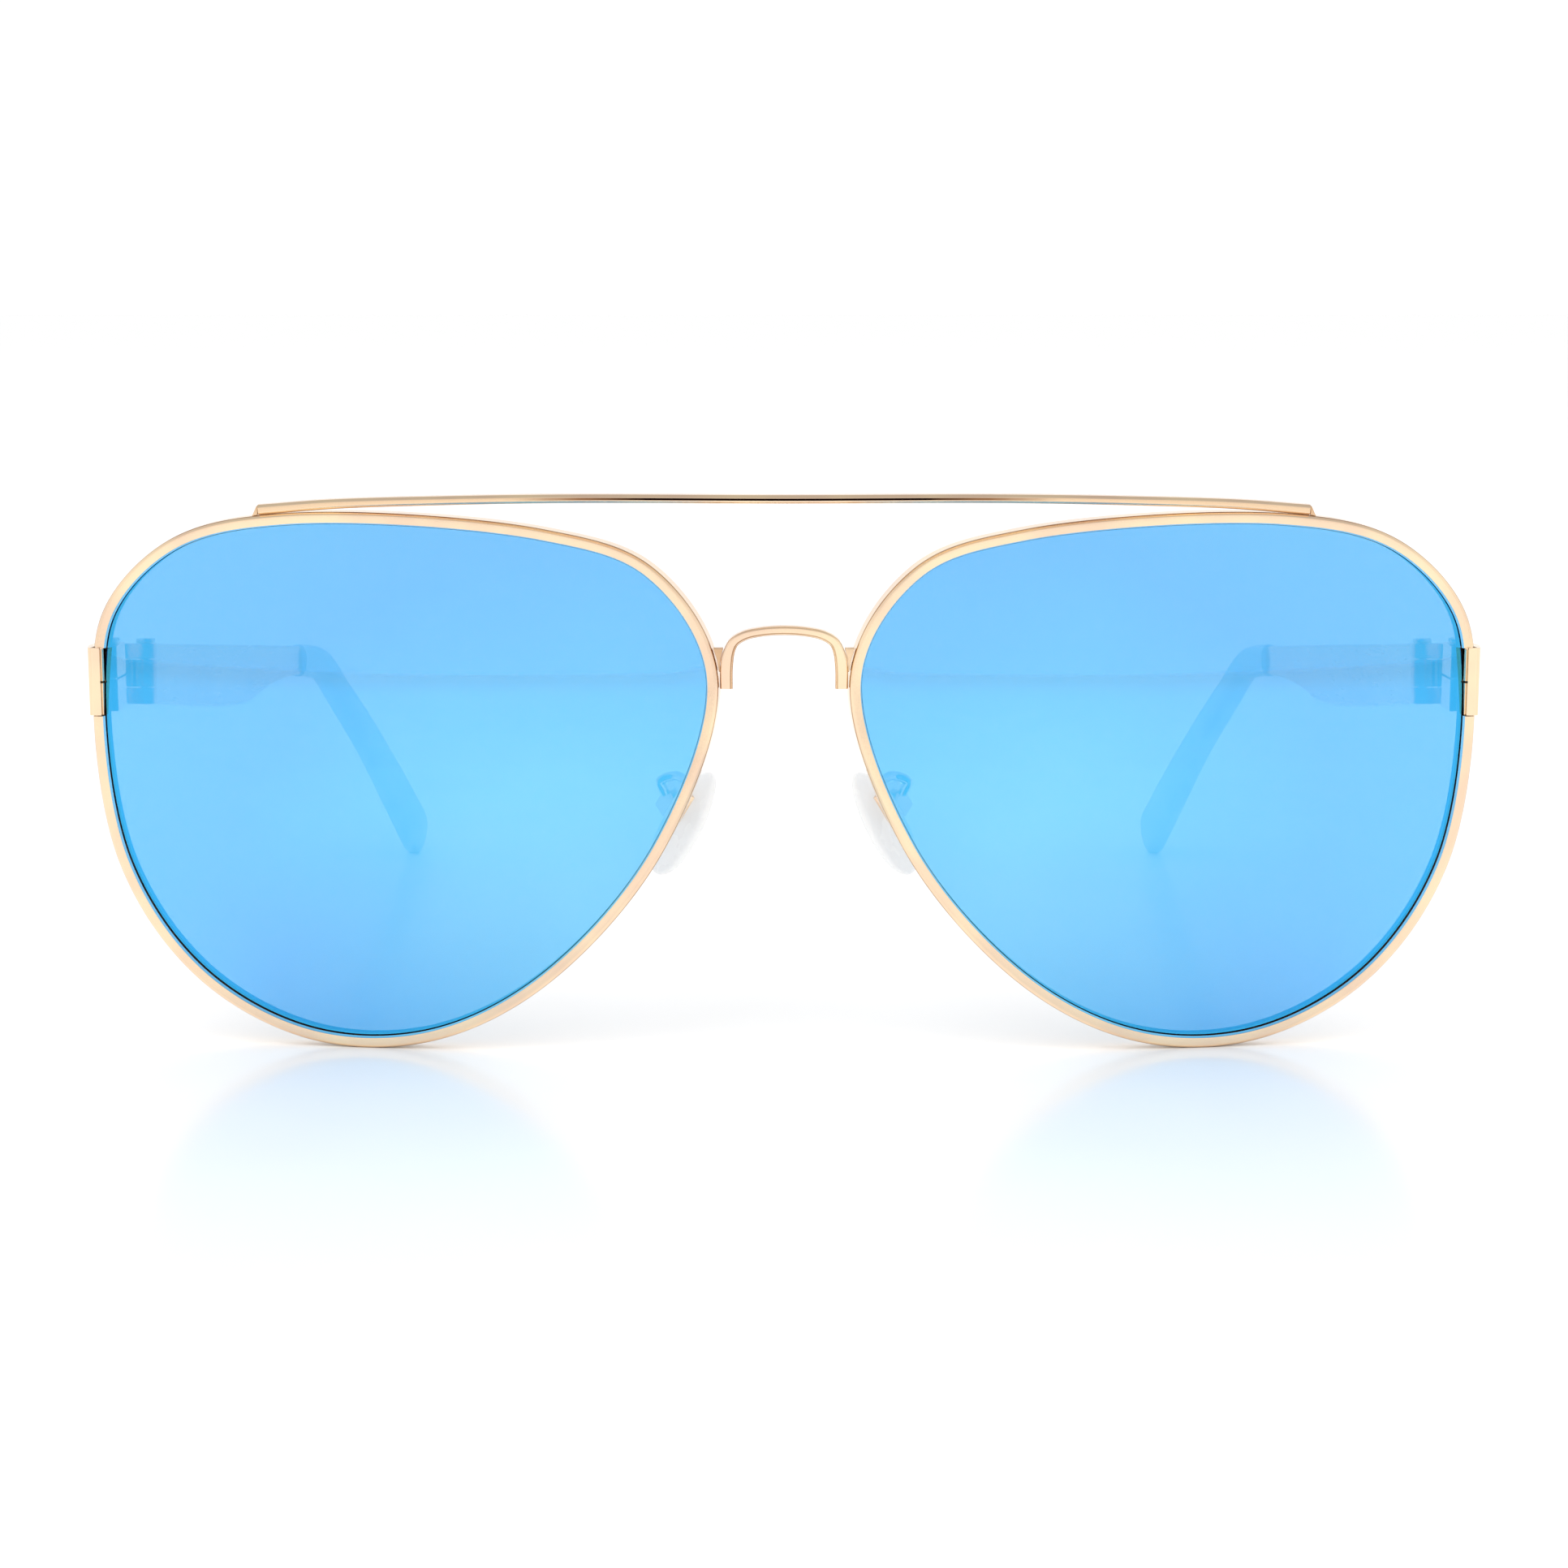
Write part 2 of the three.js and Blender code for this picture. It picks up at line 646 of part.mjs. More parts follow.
// The origin is the middle of the footprint, on the table.
const bounds = new THREE.Box3().setFromObject(sunglasses, true);
sunglasses.position.y = -(bounds.min.y + bounds.max.y) / 2;
sunglasses.position.z = -bounds.min.z;

export default sunglasses;
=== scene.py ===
"""Aviator sunglasses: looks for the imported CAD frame, with a pale studio and the camera.

Lengths in the tables are millimetres, as in the CAD part; meshes are written in metres.
"""

import json
import math

import bmesh
import bpy
from mathutils import Matrix, Vector

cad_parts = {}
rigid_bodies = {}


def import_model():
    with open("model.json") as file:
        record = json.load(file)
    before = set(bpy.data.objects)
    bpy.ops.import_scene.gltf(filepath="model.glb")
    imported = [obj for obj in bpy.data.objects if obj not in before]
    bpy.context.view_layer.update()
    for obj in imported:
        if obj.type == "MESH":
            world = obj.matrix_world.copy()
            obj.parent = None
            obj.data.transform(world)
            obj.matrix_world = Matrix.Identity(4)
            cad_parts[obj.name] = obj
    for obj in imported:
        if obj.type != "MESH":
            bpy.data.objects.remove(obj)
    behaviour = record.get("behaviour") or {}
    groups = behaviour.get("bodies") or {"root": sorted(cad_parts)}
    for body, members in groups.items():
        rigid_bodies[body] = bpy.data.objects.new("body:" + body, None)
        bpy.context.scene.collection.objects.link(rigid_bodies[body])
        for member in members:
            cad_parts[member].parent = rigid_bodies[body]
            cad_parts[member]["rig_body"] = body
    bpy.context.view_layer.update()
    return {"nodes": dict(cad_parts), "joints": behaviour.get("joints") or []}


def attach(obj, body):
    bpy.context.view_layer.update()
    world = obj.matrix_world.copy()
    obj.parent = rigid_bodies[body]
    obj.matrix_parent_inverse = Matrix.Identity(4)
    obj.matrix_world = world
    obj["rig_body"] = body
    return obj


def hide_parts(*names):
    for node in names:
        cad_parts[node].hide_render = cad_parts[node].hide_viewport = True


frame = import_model()

MM = 0.001

# ---- Dimensions shared with the CAD part -------------------------------------------------------

FRONT_LEAN = math.radians(3)
TEMPLE_SLOPE = math.radians(5.815)
LEAN_SETBACK = 40 * math.sin(FRONT_LEAN)
HINGE_PLACE = Vector((68.5, 19, 38.0))

EYE_CENTRE = Vector((40.1, -0.5, 28.1))
WRAP_ANGLE = math.radians(6)
LENS_RADIUS = 115
LENS_THICKNESS = 1.6
BEVEL_HEIGHT = 0.42
# The dark line inside the lens edge is painted shade from the rim's lip.
LENS_INSET = 0.04  # least width of the dark line inside the lens edge
LENS_INSET_GROWTH = 0.11
OUTLINE = [
    (31.25, 9.9), (28.9, -8.9), (21.3, -20.3), (10.15, -26.25), (-2.05, -26.25), (-14.05, -20.25),
    (-26.5, -5.8), (-31.75, 11.6), (-25.7, 21.6), (-15.3, 25.3), (11.1, 26.65), (23.15, 23.85),
    (29.95, 17.2),
]
RIM_WIDTH = 1.25
RIM_FRONT = -0.62
RIM_BACK = 2.15
RIM_CHAMFER = 0.3
RIM_LIP = 0.16  # width of the slope from the rim's face down to the lens
RIM_FRONT_LIP = 0.45
RIM_BACK_LIP = 0.4
GROOVE_DEPTH = 0.58
RIM_OPEN = 1.5 / 80  # share of the outline left open on each side of the joint

BAR_LINE = [
    (0, -0.6, 57.98), (21.7, 0.3, 57.94), (34.5, 1.8, 57.58), (46.35, 3.7, 57.0),
    (53.85, 5.2, 56.25),
]
BAR_DEPTH = 1.7
BAR_MIDDLE_HEIGHT = 0.88
BAR_END_HEIGHT = 1.08
BAR_CHAMFER = 0.3
BAR_FRONT_FACES = range(22, 25)  # the section's faces between the two front corners

ARCH_LINE = [
    (5.9, 1.35, 38.35), (5.88, 1.3, 40.4), (5.72, 1.25, 41.75), (5.16, 1.1, 43.1),
    (4.07, 1.0, 43.83), (2.38, 0.92, 44.24), (0, 0.9, 44.4),
]
ARCH_FOOT_WIDTH = 1.3
ARCH_CROWN_WIDTH = 0.92
ARCH_DEPTH = 1.5
ARCH_CHAMFER = 0.2
ARCH_FOOT_SHARE = 0.72  # share of the half arch in which it widens towards its foot

TEMPLE_THICKNESS = 1.1
TEMPLE_LINE = [
    (0.15, 3.65, -0.05, 6.5), (8, 3.6, -0.1, 6.6), (26, 1.45, -0.3, 7.0), (46, -1.4, -0.5, 7.4),
    (54, -2.5, -0.3, 7.0), (62, -3.7, 0.55, 5.2), (70, -4.95, 1.1, 4.0), (76, -5.9, 1.25, 3.7),
]
TIP_LINE = [
    (76.2, -5.93, 1.25, 4.1, 2.3), (80, -6.55, 1.2, 4.2, 2.5), (85.5, -7.7, 0.45, 4.3, 2.7),
    (92, -9.25, -3.3, 4.4, 2.8), (101, -11.75, -9.3, 4.9, 2.9), (110, -13.95, -15.6, 6.0, 3.0),
    (119.6, -16.25, -22.55, 6.9, 3.0),
]
CORE_THICKNESS = 1.1
CORE_HEIGHT = 1.7
CORE_END = 108
FLAT_CHAMFER = 0.25
BLADE_ROUNDING = 0.12
TIP_SQUARENESS = 0.75
TIP_END_ANGLES = (10, 20, 30, 40, 50, 60, 68, 75, 82, 87)

PAD_CENTRE = Vector((10.6, 9.3, 22.6))
PAD_DOWN = Vector((5.6, 1.5, -9.55)).normalized()
PAD_SPLAY = Vector((0.5, 0.866, 0))
PAD_HALF_LENGTH = 6.3
PAD_HALF_WIDTH = 3.5
PAD_THICKNESS = 1.7
PAD_TAPER = 0.16  # the upper end is narrower by this share
PAD_BOX_LIFT = 2.0
PAD_BOX_START = 1.25
PAD_BOX_DEPTH = 2.2
PAD_ARM_GAP = 0.32
PAD_BOX_BACK = PAD_BOX_START + PAD_BOX_DEPTH + PAD_ARM_GAP
PAD_ARM_RADIUS = 0.5
PAD_ARM_START = [(9.95, 2.5, 27.7), (10.2, 4.3, 28.1), (11.4, 6.0, 28.3)]
PAD_ARM_BEND = Vector((0.5, -0.3, 1.4))
PAD_ARM_LIFT = 0.4

CAMERA_PLACE = (0, -0.42833, 0.07852)
CAMERA_PITCH = math.radians(7.9)
CAMERA_LENS = 81.49
SUN_POWER = 0.6
FLOOR_HALF_SIZE = 12


# ---- Frames ------------------------------------------------------------------------------------

hinge_joint = next(j for j in frame["joints"] if j["name"] == "right_temple_fold")
hinge_axis_point = Vector(hinge_joint["pos_m"])
SHIFT = Matrix.Translation(hinge_axis_point / MM - HINGE_PLACE)


def mirrored(side):
    return Matrix.Scale(-1 if side == "left" else 1, 4, Vector((1, 0, 0)))


def leaning_frame(side="right"):
    lean = Matrix.Translation((0, LEAN_SETBACK, 0)) @ Matrix.Rotation(FRONT_LEAN, 4, "X")
    return SHIFT @ lean @ mirrored(side)


def eye_frame(side):
    place = Matrix.Translation(EYE_CENTRE)
    return leaning_frame(side) @ place @ Matrix.Rotation(WRAP_ANGLE, 4, "Z")


def hinge_frame(side):
    place = Matrix.Translation(HINGE_PLACE) @ Matrix.Rotation(-TEMPLE_SLOPE, 4, "X")
    return SHIFT @ mirrored(side) @ place


def pad_matrix():
    up = -PAD_DOWN
    width = (PAD_SPLAY - up * PAD_SPLAY.dot(up)).normalized()
    out = width.cross(up)
    turn = Matrix((width, up, out)).transposed().to_4x4()
    return Matrix.Translation(PAD_CENTRE) @ turn


# ---- Curves ------------------------------------------------------------------------------------


def curve_point(points, share, closed=False):
    """The centripetal Catmull-Rom curve through the points, at a share of its spans."""
    count = len(points)
    spans = count if closed else count - 1
    place = (share % 1 if closed else share) * spans
    first = min(int(place), spans - 1)
    t = place - first
    if closed:
        a, b, c, d = (points[(first + k) % count] for k in (-1, 0, 1, 2))
    else:
        padded = [2 * points[0] - points[1], *points, 2 * points[-1] - points[-2]]
        a, b, c, d = padded[first:first + 4]
    before, here, after = ((q - p).length ** 0.5 or 1 for p, q in ((a, b), (b, c), (c, d)))
    start = ((b - a) / before - (c - a) / (before + here) + (c - b) / here) * here
    end = ((c - b) / here - (d - b) / (here + after) + (d - c) / after) * here
    square = 3 * (c - b) - 2 * start - end
    cube = 2 * (b - c) + start + end
    return b + start * t + square * t**2 + cube * t**3


def curve_tangent(points, share):
    step = 1e-4
    ahead = curve_point(points, min(1, share + step))
    behind = curve_point(points, max(0, share - step))
    return (ahead - behind).normalized()


class Loop:
    """A closed curve that is read by its share of the length."""

    def __init__(self, points, samples=2400):
        self.points = [curve_point(points, i / samples, True) for i in range(samples)]
        self.lengths = [0]
        for a, b in zip(self.points, self.points[1:] + self.points[:1]):
            self.lengths.append(self.lengths[-1] + (b - a).length)

    def at(self, share):
        goal = (share % 1) * self.lengths[-1]
        low, high = 0, len(self.lengths) - 1
        while high - low > 1:
            middle = (low + high) // 2
            low, high = (middle, high) if self.lengths[middle] <= goal else (low, middle)
        a = self.points[low]
        b = self.points[(low + 1) % len(self.points)]
        return a.lerp(b, (goal - self.lengths[low]) / (self.lengths[low + 1] - self.lengths[low]))

    def outward(self, share):
        tangent = (self.at(share + 1e-3) - self.at(share - 1e-3)).normalized()
        return Vector((-tangent.z, 0, tangent.x))


lens_loop = Loop([Vector((a, 0, b)) for a, b in OUTLINE])


def sag(a, b):
    return LENS_RADIUS - math.sqrt(LENS_RADIUS**2 - a**2 - b**2)


def edge_point(share, outwards, backwards):
    """A point in the eye's frame, measured from the visible lens edge."""
    point = lens_loop.at(share)
    depth = sag(point.x, point.z) + backwards
    point = point + lens_loop.outward(share) * outwards
    return Vector((point.x, depth, point.z))


# ---- Sections ----------------------------------------------------------------------------------


def rounded(corners, radius, steps=3):
    """The polygon with its corners rounded; radius is one number or one for each corner."""
    radii = radius if isinstance(radius, list) else [radius] * len(corners)
    result = []
    for i, corner in enumerate(corners):
        here = Vector(corner)
        back = Vector(corners[i - 1]) - here
        ahead = Vector(corners[(i + 1) % len(corners)]) - here
        reach = min(radii[i], back.length * 0.45, ahead.length * 0.45)
        start = here + back.normalized() * reach
        end = here + ahead.normalized() * reach
        for k in range(steps + 1):
            t = k / steps
            result.append(start * (1 - t) ** 2 + here * 2 * t * (1 - t) + end * t**2)
    return [tuple(p) for p in result]


def corner_slot(edges, steps=3):
    """Material slot by face of a rounded section: 1 on the listed corners, 0 elsewhere."""

    def slot_of(i):
        corner, step = divmod(i, steps + 1)
        return 1 if step < steps and corner in edges else 0

    return slot_of


def chamfered_box(width, height, cut, radius=0.07):
    x, y = width / 2, height / 2
    corners = [
        (x, y - cut), (x - cut, y), (cut - x, y), (-x, y - cut),
        (-x, cut - y), (cut - x, -y), (x - cut, -y), (x, cut - y),
    ]
    return rounded(corners, radius)


# ---- Mesh pieces -------------------------------------------------------------------------------


def finish_mesh(name, bm, material, body, replaced, slot, sharp=math.radians(60)):
    """Turns a bmesh in row-frame metres into a riding piece that stands for CAD nodes."""
    bmesh.ops.recalc_face_normals(bm, faces=bm.faces)
    mesh = bpy.data.meshes.new(name)
    bm.to_mesh(mesh)
    bm.free()
    mesh.shade_smooth()
    mesh.set_sharp_from_angle(angle=sharp)
    piece = bpy.data.objects.new(name, mesh)
    bpy.context.scene.collection.objects.link(piece)
    materials = material if isinstance(material, list) else [material]
    for m in materials:
        mesh.materials.append(m)
    weighted = piece.modifiers.new("flat facets", "WEIGHTED_NORMAL")
    weighted.keep_sharp = True
    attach(piece, body)
    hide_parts(*replaced)
    return piece


def skin_mesh(rings, matrix, capped=True, slot_of=None):
    """A bmesh through rings of points given in millimetres in the matrix's frame."""
    bm = bmesh.new()
    rows = [[bm.verts.new((matrix @ p) * MM) for p in ring] for ring in rings]
    count = len(rows[0])
    for low, high in zip(rows, rows[1:]):
        for i in range(count):
            j = (i + 1) % count
            face = bm.faces.new((low[i], low[j], high[j], high[i]))
            if slot_of:
                face.material_index = slot_of(i)
    if capped:
        bm.faces.new(rows[0])
        bm.faces.new(rows[-1])
    return bm


def sweep_rings(points, steps, axis, section_at):
    rings = []
    for i in range(steps + 1):
        t = i / steps
        origin = curve_point(points, t)
        side = curve_tangent(points, t).cross(axis).normalized()
        rings.append([origin + side * u + axis * v for u, v in section_at(t)])
    return rings


def softened(node, material, slot, width=0.08, limit=25):
    """A piece with the shape of a CAD node and its sharp edges rounded."""
    source = frame["nodes"][node]
    bm = bmesh.new()
    bm.from_mesh(source.data)
    bmesh.ops.remove_doubles(bm, verts=bm.verts, dist=2e-6)
    bmesh.ops.dissolve_limit(bm, angle_limit=math.radians(1), verts=bm.verts, edges=bm.edges)
    bm.normal_update()
    least = math.radians(limit)
    edges = [e for e in bm.edges if len(e.link_faces) == 2 and e.calc_face_angle(0) > least]
    bmesh.ops.bevel(
        bm, geom=edges, offset=width * MM, segments=2, profile=0.5, affect="EDGES",
        clamp_overlap=True,
    )
    body = source["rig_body"]
    return finish_mesh(node + ".fine", bm, material, body, [node], slot, math.radians(50))


# ---- Materials ---------------------------------------------------------------------------------


def link(tree, source, target):
    tree.links.new(source, target)


def srgb(r, g, b):
    def linear(v):
        v /= 255
        return v / 12.92 if v <= 0.04045 else ((v + 0.055) / 1.055) ** 2.4

    return (linear(r), linear(g), linear(b), 1)


def base_material(name, **sockets):
    material = bpy.data.materials.new(name)
    material.use_nodes = True
    shader = material.node_tree.nodes["Principled BSDF"]
    for socket, value in sockets.items():
        shader.inputs[socket.replace("_", " ")].default_value = value
    return material, material.node_tree, shader


def noise(tree, scale, detail=3, stretch=(1, 1, 1), roughness=0.5):
    coordinates = tree.nodes.new("ShaderNodeTexCoord")
    mapping = tree.nodes.new("ShaderNodeMapping")
    mapping.inputs["Scale"].default_value = stretch
    texture = tree.nodes.new("ShaderNodeTexNoise")
    texture.inputs["Scale"].default_value = scale
    texture.inputs["Detail"].default_value = detail
    texture.inputs["Roughness"].default_value = roughness
    link(tree, coordinates.outputs["Object"], mapping.inputs["Vector"])
    link(tree, mapping.outputs["Vector"], texture.inputs["Vector"])
    return texture.outputs["Fac"]


def ramp(tree, source, stops):
    node = tree.nodes.new("ShaderNodeValToRGB")
    elements = node.color_ramp.elements
    while len(elements) < len(stops):
        elements.new(0.5)
    for element, (place, colour) in zip(elements, stops):
        element.position = place
        element.color = colour if len(colour) == 4 else (*colour, 1)
    link(tree, source, node.inputs["Fac"])
    return node.outputs["Color"]


def value_range(tree, source, low, high, start=0.3, end=0.7):
    node = tree.nodes.new("ShaderNodeMapRange")
    for socket, value in zip(("From Min", "From Max", "To Min", "To Max"), (start, end, low, high)):
        node.inputs[socket].default_value = value
    link(tree, source, node.inputs["Value"])
    return node.outputs["Result"]


def bump(tree, source, shader, strength, distance):
    node = tree.nodes.new("ShaderNodeBump")
    node.inputs["Strength"].default_value = strength
    node.inputs["Distance"].default_value = distance
    link(tree, source, node.inputs["Height"])
    link(tree, node.outputs["Normal"], shader.inputs["Normal"])


def metal(name, light, deep, smooth, rough, grain=2600, depth=0.000004, stretch=(1, 1, 1)):
    """Plated metal: the plating's tone drifts, and fine polishing marks vary gloss and relief."""
    material, tree, shader = base_material(name, Metallic=1.0)
    tone = noise(tree, 140, 2)
    link(tree, ramp(tree, tone, [(0.35, deep), (0.65, light)]), shader.inputs["Base Color"])
    marks = noise(tree, grain, 4, stretch, 0.6)
    link(tree, value_range(tree, marks, smooth, rough), shader.inputs["Roughness"])
    bump(tree, marks, shader, 0.25, depth)
    return material


def lens_material():
    """A blue mirror coating on a tinted lens, with a painted broad highlight: lighter cyan in the
    middle and bluer towards the edge.
    """
    material, tree, shader = base_material("mirror_lens", Metallic=1.0, Alpha=0.78)
    coordinates = tree.nodes.new("ShaderNodeTexCoord")
    parts = tree.nodes.new("ShaderNodeSeparateXYZ")
    link(tree, coordinates.outputs["Object"], parts.inputs["Vector"])
    across = tree.nodes.new("ShaderNodeMath")
    across.operation = "ABSOLUTE"
    link(tree, parts.outputs["X"], across.inputs[0])
    point = tree.nodes.new("ShaderNodeCombineXYZ")
    link(tree, across.outputs[0], point.inputs["X"])
    link(tree, parts.outputs["Z"], point.inputs["Z"])
    distance = tree.nodes.new("ShaderNodeVectorMath")
    distance.operation = "DISTANCE"
    distance.inputs[1].default_value = (0.022, 0, 0.017)
    link(tree, point.outputs["Vector"], distance.inputs[0])
    drift = noise(tree, 45, 2)
    wander = tree.nodes.new("ShaderNodeMath")
    wander.operation = "MULTIPLY_ADD"
    wander.inputs[1].default_value = 0.02
    link(tree, drift, wander.inputs[0])
    link(tree, distance.outputs["Value"], wander.inputs[2])
    share = value_range(tree, wander.outputs[0], 0, 1, 0.01, 0.062)
    # Lighter cyan near the point and bluer away from it: a painted broad highlight.
    colour = ramp(tree, share, [
        (0.0, (0.095, 0.61, 1.0)), (0.35, (0.052, 0.54, 1.0)), (0.7, (0.046, 0.485, 1.0)),
        (1.0, (0.05, 0.51, 1.0)),
    ])
    link(tree, colour, shader.inputs["Base Color"])
    haze = noise(tree, 300, 3)
    link(tree, value_range(tree, haze, 0.02, 0.06), shader.inputs["Roughness"])
    bump(tree, noise(tree, 60, 2), shader, 0.05, 0.00002)
    return material


def bar_painted_reflection_material():
    """The front facet of the brow bar: a painted dark reflection in the middle, fading to plain
    gold outwards.
    """
    material, tree, shader = base_material("bar_painted_reflection", Metallic=1.0)
    coordinates = tree.nodes.new("ShaderNodeTexCoord")
    parts = tree.nodes.new("ShaderNodeSeparateXYZ")
    link(tree, coordinates.outputs["Object"], parts.inputs["Vector"])
    across = tree.nodes.new("ShaderNodeMath")
    across.operation = "ABSOLUTE"
    link(tree, parts.outputs["X"], across.inputs[0])
    wander = tree.nodes.new("ShaderNodeMath")
    wander.operation = "MULTIPLY_ADD"
    wander.inputs[1].default_value = 0.003
    link(tree, noise(tree, 400, 2), wander.inputs[0])
    link(tree, across.outputs[0], wander.inputs[2])
    share = value_range(tree, wander.outputs[0], 0, 1, 0.006, 0.03)
    link(tree, ramp(tree, share, [
        (0.0, srgb(16, 5, 4)), (0.4, srgb(30, 12, 8)), (0.68, srgb(150, 108, 76)),
        (1.0, srgb(236, 204, 168)),
    ]), shader.inputs["Base Color"])
    link(tree, value_range(tree, noise(tree, 2600, 3), 0.12, 0.22), shader.inputs["Roughness"])
    return material


def plastic(name, light, deep, smooth, rough, scale, depth, **sockets):
    material, tree, shader = base_material(name, **sockets)
    clouds = noise(tree, scale, 3)
    link(tree, ramp(tree, clouds, [(0.3, deep), (0.7, light)]), shader.inputs["Base Color"])
    link(tree, value_range(tree, clouds, smooth, rough), shader.inputs["Roughness"])
    bump(tree, noise(tree, scale * 12, 3), shader, 0.2, depth)
    return material


gold = metal("gold_wire", srgb(250, 224, 188), srgb(240, 210, 182), 0.1, 0.2)
# Darker gold for the corners of rims and bridge: painted shade along the edges.
gold_painted_edge_shade = metal("gold_painted_edge_shade", srgb(214, 178, 140), srgb(176, 138, 104), 0.14, 0.26)
# Near-white gold for the rim's inner lip: a painted highlight line.
gold_painted_lip_highlight = metal("gold_painted_lip_highlight", srgb(255, 252, 246), srgb(252, 244, 234), 0.06, 0.14)
blade_gold = metal(
    "gold_blade", srgb(250, 222, 182), srgb(242, 210, 172), 0.16, 0.3, 1500, 0.000006, (1, 0.05, 1),
)
solder = metal("solder", srgb(244, 214, 178), srgb(222, 184, 146), 0.28, 0.5, 1800, 0.00002)
steel = metal("screw_steel", srgb(238, 232, 222), srgb(214, 204, 188), 0.2, 0.38, 1500, 0.000008)
bar_painted_reflection = bar_painted_reflection_material()
lens_blue = lens_material()
# Dark navy on the lens bevel and an edge band of its face: painted shade from the rim.
lens_painted_edge_shade = plastic("lens_painted_edge_shade", srgb(16, 18, 44), srgb(6, 8, 24), 0.12, 0.3, 500, 0.00001)
lens_back = plastic(
    "lens_back", srgb(70, 96, 128), srgb(52, 78, 112), 0.04, 0.1, 80, 0.000004, Alpha=0.3,
)
clear_tip = plastic(
    "clear_tip", (0.74, 0.79, 0.82), (0.62, 0.68, 0.72), 0.06, 0.16, 160, 0.00001, Alpha=0.72,
)
silicone = plastic(
    "silicone", (0.985, 0.985, 0.98), (0.95, 0.95, 0.945), 0.18, 0.32, 260, 0.000004, Alpha=0.36,
)
pad_plastic = plastic("pad_plastic", (0.9, 0.9, 0.9), (0.82, 0.83, 0.84), 0.2, 0.4, 400, 0.00001)


# ---- Rims and lenses ---------------------------------------------------------------------------


def add_rim(side):
    chamfer = RIM_CHAMFER
    section = rounded(
        [
            (0, RIM_FRONT + RIM_FRONT_LIP), (RIM_LIP, RIM_FRONT), (RIM_WIDTH - chamfer, RIM_FRONT),
            (RIM_WIDTH, RIM_FRONT + chamfer), (RIM_WIDTH, RIM_BACK - chamfer),
            (RIM_WIDTH - chamfer, RIM_BACK), (RIM_LIP, RIM_BACK), (0, RIM_BACK - RIM_BACK_LIP),
            (GROOVE_DEPTH, LENS_THICKNESS / 2),
        ],
        [0.05, 0.06, 0.1, 0.1, 0.1, 0.1, 0.06, 0.05, 0.02],
    )
    steps = 420
    shares = [RIM_OPEN + (1 - 2 * RIM_OPEN) * i / steps for i in range(steps + 1)]
    rings = [[edge_point(share, r, d) for r, d in section] for share in shares]
    # The outer and back corners take slot 1, the darker gold: painted shade.
    corner = corner_slot({3, 4, 5, 6})

    # The inner lip's five faces take slot 2, the near-white gold: a painted highlight.
    def slot_of(i):
        return 2 if i < 5 else corner(i)

    bm = skin_mesh(rings, eye_frame(side), slot_of=slot_of)
    golds = [gold, gold_painted_edge_shade, gold_painted_lip_highlight]
    finish_mesh(f"{side}_rim.wire", bm, golds, "front", [f"{side}_rim"], "gold_wire")


def lens_inset(share):
    """The painted shade line at the lens edge, where the rim's lip shades the lens: wider below and
    on the temple side.
    """
    out = lens_loop.outward(share)
    return LENS_INSET + LENS_INSET_GROWTH * max(0.0, 0.6 * out.x - 0.75 * out.z)


def add_lens(side):
    count = 300
    shares = [i / count for i in range(count)]

    def face_ring(scale, back):
        ring = []
        for share in shares:
            point = edge_point(share, -lens_inset(share), 0) * scale
            ring.append(Vector((point.x, sag(point.x, point.z) + back, point.z)))
        return ring

    scales = [0.06] + [0.1 * k for k in range(1, 11)]
    edge_front = [edge_point(share, 0.06, 0.22) for share in shares]
    edge = [edge_point(share, BEVEL_HEIGHT, LENS_THICKNESS / 2) for share in shares]
    front_rings = [face_ring(scale, 0) for scale in scales]
    back_rings = [face_ring(scale, LENS_THICKNESS) for scale in reversed(scales)]
    bm = skin_mesh([*front_rings, edge_front, edge, *back_rings], eye_frame(side))
    bm.faces.ensure_lookup_table()
    # The rows from the inset front ring over the bevel take slot 1: painted shade.
    painted_shade_rows = range(len(scales) - 1, len(scales) + 2)
    for row in painted_shade_rows:
        for face in bm.faces[row * count:(row + 1) * count]:
            face.material_index = 1
    for face in [*bm.faces[(painted_shade_rows[-1] + 1) * count:-2], bm.faces[-1]]:
        face.material_index = 2
    finish_mesh(
        f"{side}_lens.mirror", bm, [lens_blue, lens_painted_edge_shade, lens_back], "front", [f"{side}_lens"],
        "mirror_lens", math.radians(20),
    )


# ---- Brow bar and bridge -----------------------------------------------------------------------


def add_brow_bar():
    halves = [Vector((-x, y, z)) for x, y, z in reversed(BAR_LINE[1:])]
    halves += [Vector(p) for p in BAR_LINE]

    def section(t):
        growth = (BAR_END_HEIGHT - BAR_MIDDLE_HEIGHT) * (2 * t - 1) ** 2
        height = BAR_MIDDLE_HEIGHT + growth
        return chamfered_box(height, BAR_DEPTH, BAR_CHAMFER)

    rings = sweep_rings(halves, 240, Vector((0, 1, 0)), section)
    # The front facet takes slot 1, the painted dark reflection.
    bm = skin_mesh(rings, leaning_frame(), slot_of=lambda i: 1 if i in BAR_FRONT_FACES else 0)
    finish_mesh("brow_bar.faceted", bm, [gold, bar_painted_reflection], "front", ["brow_bar"], "gold_wire")


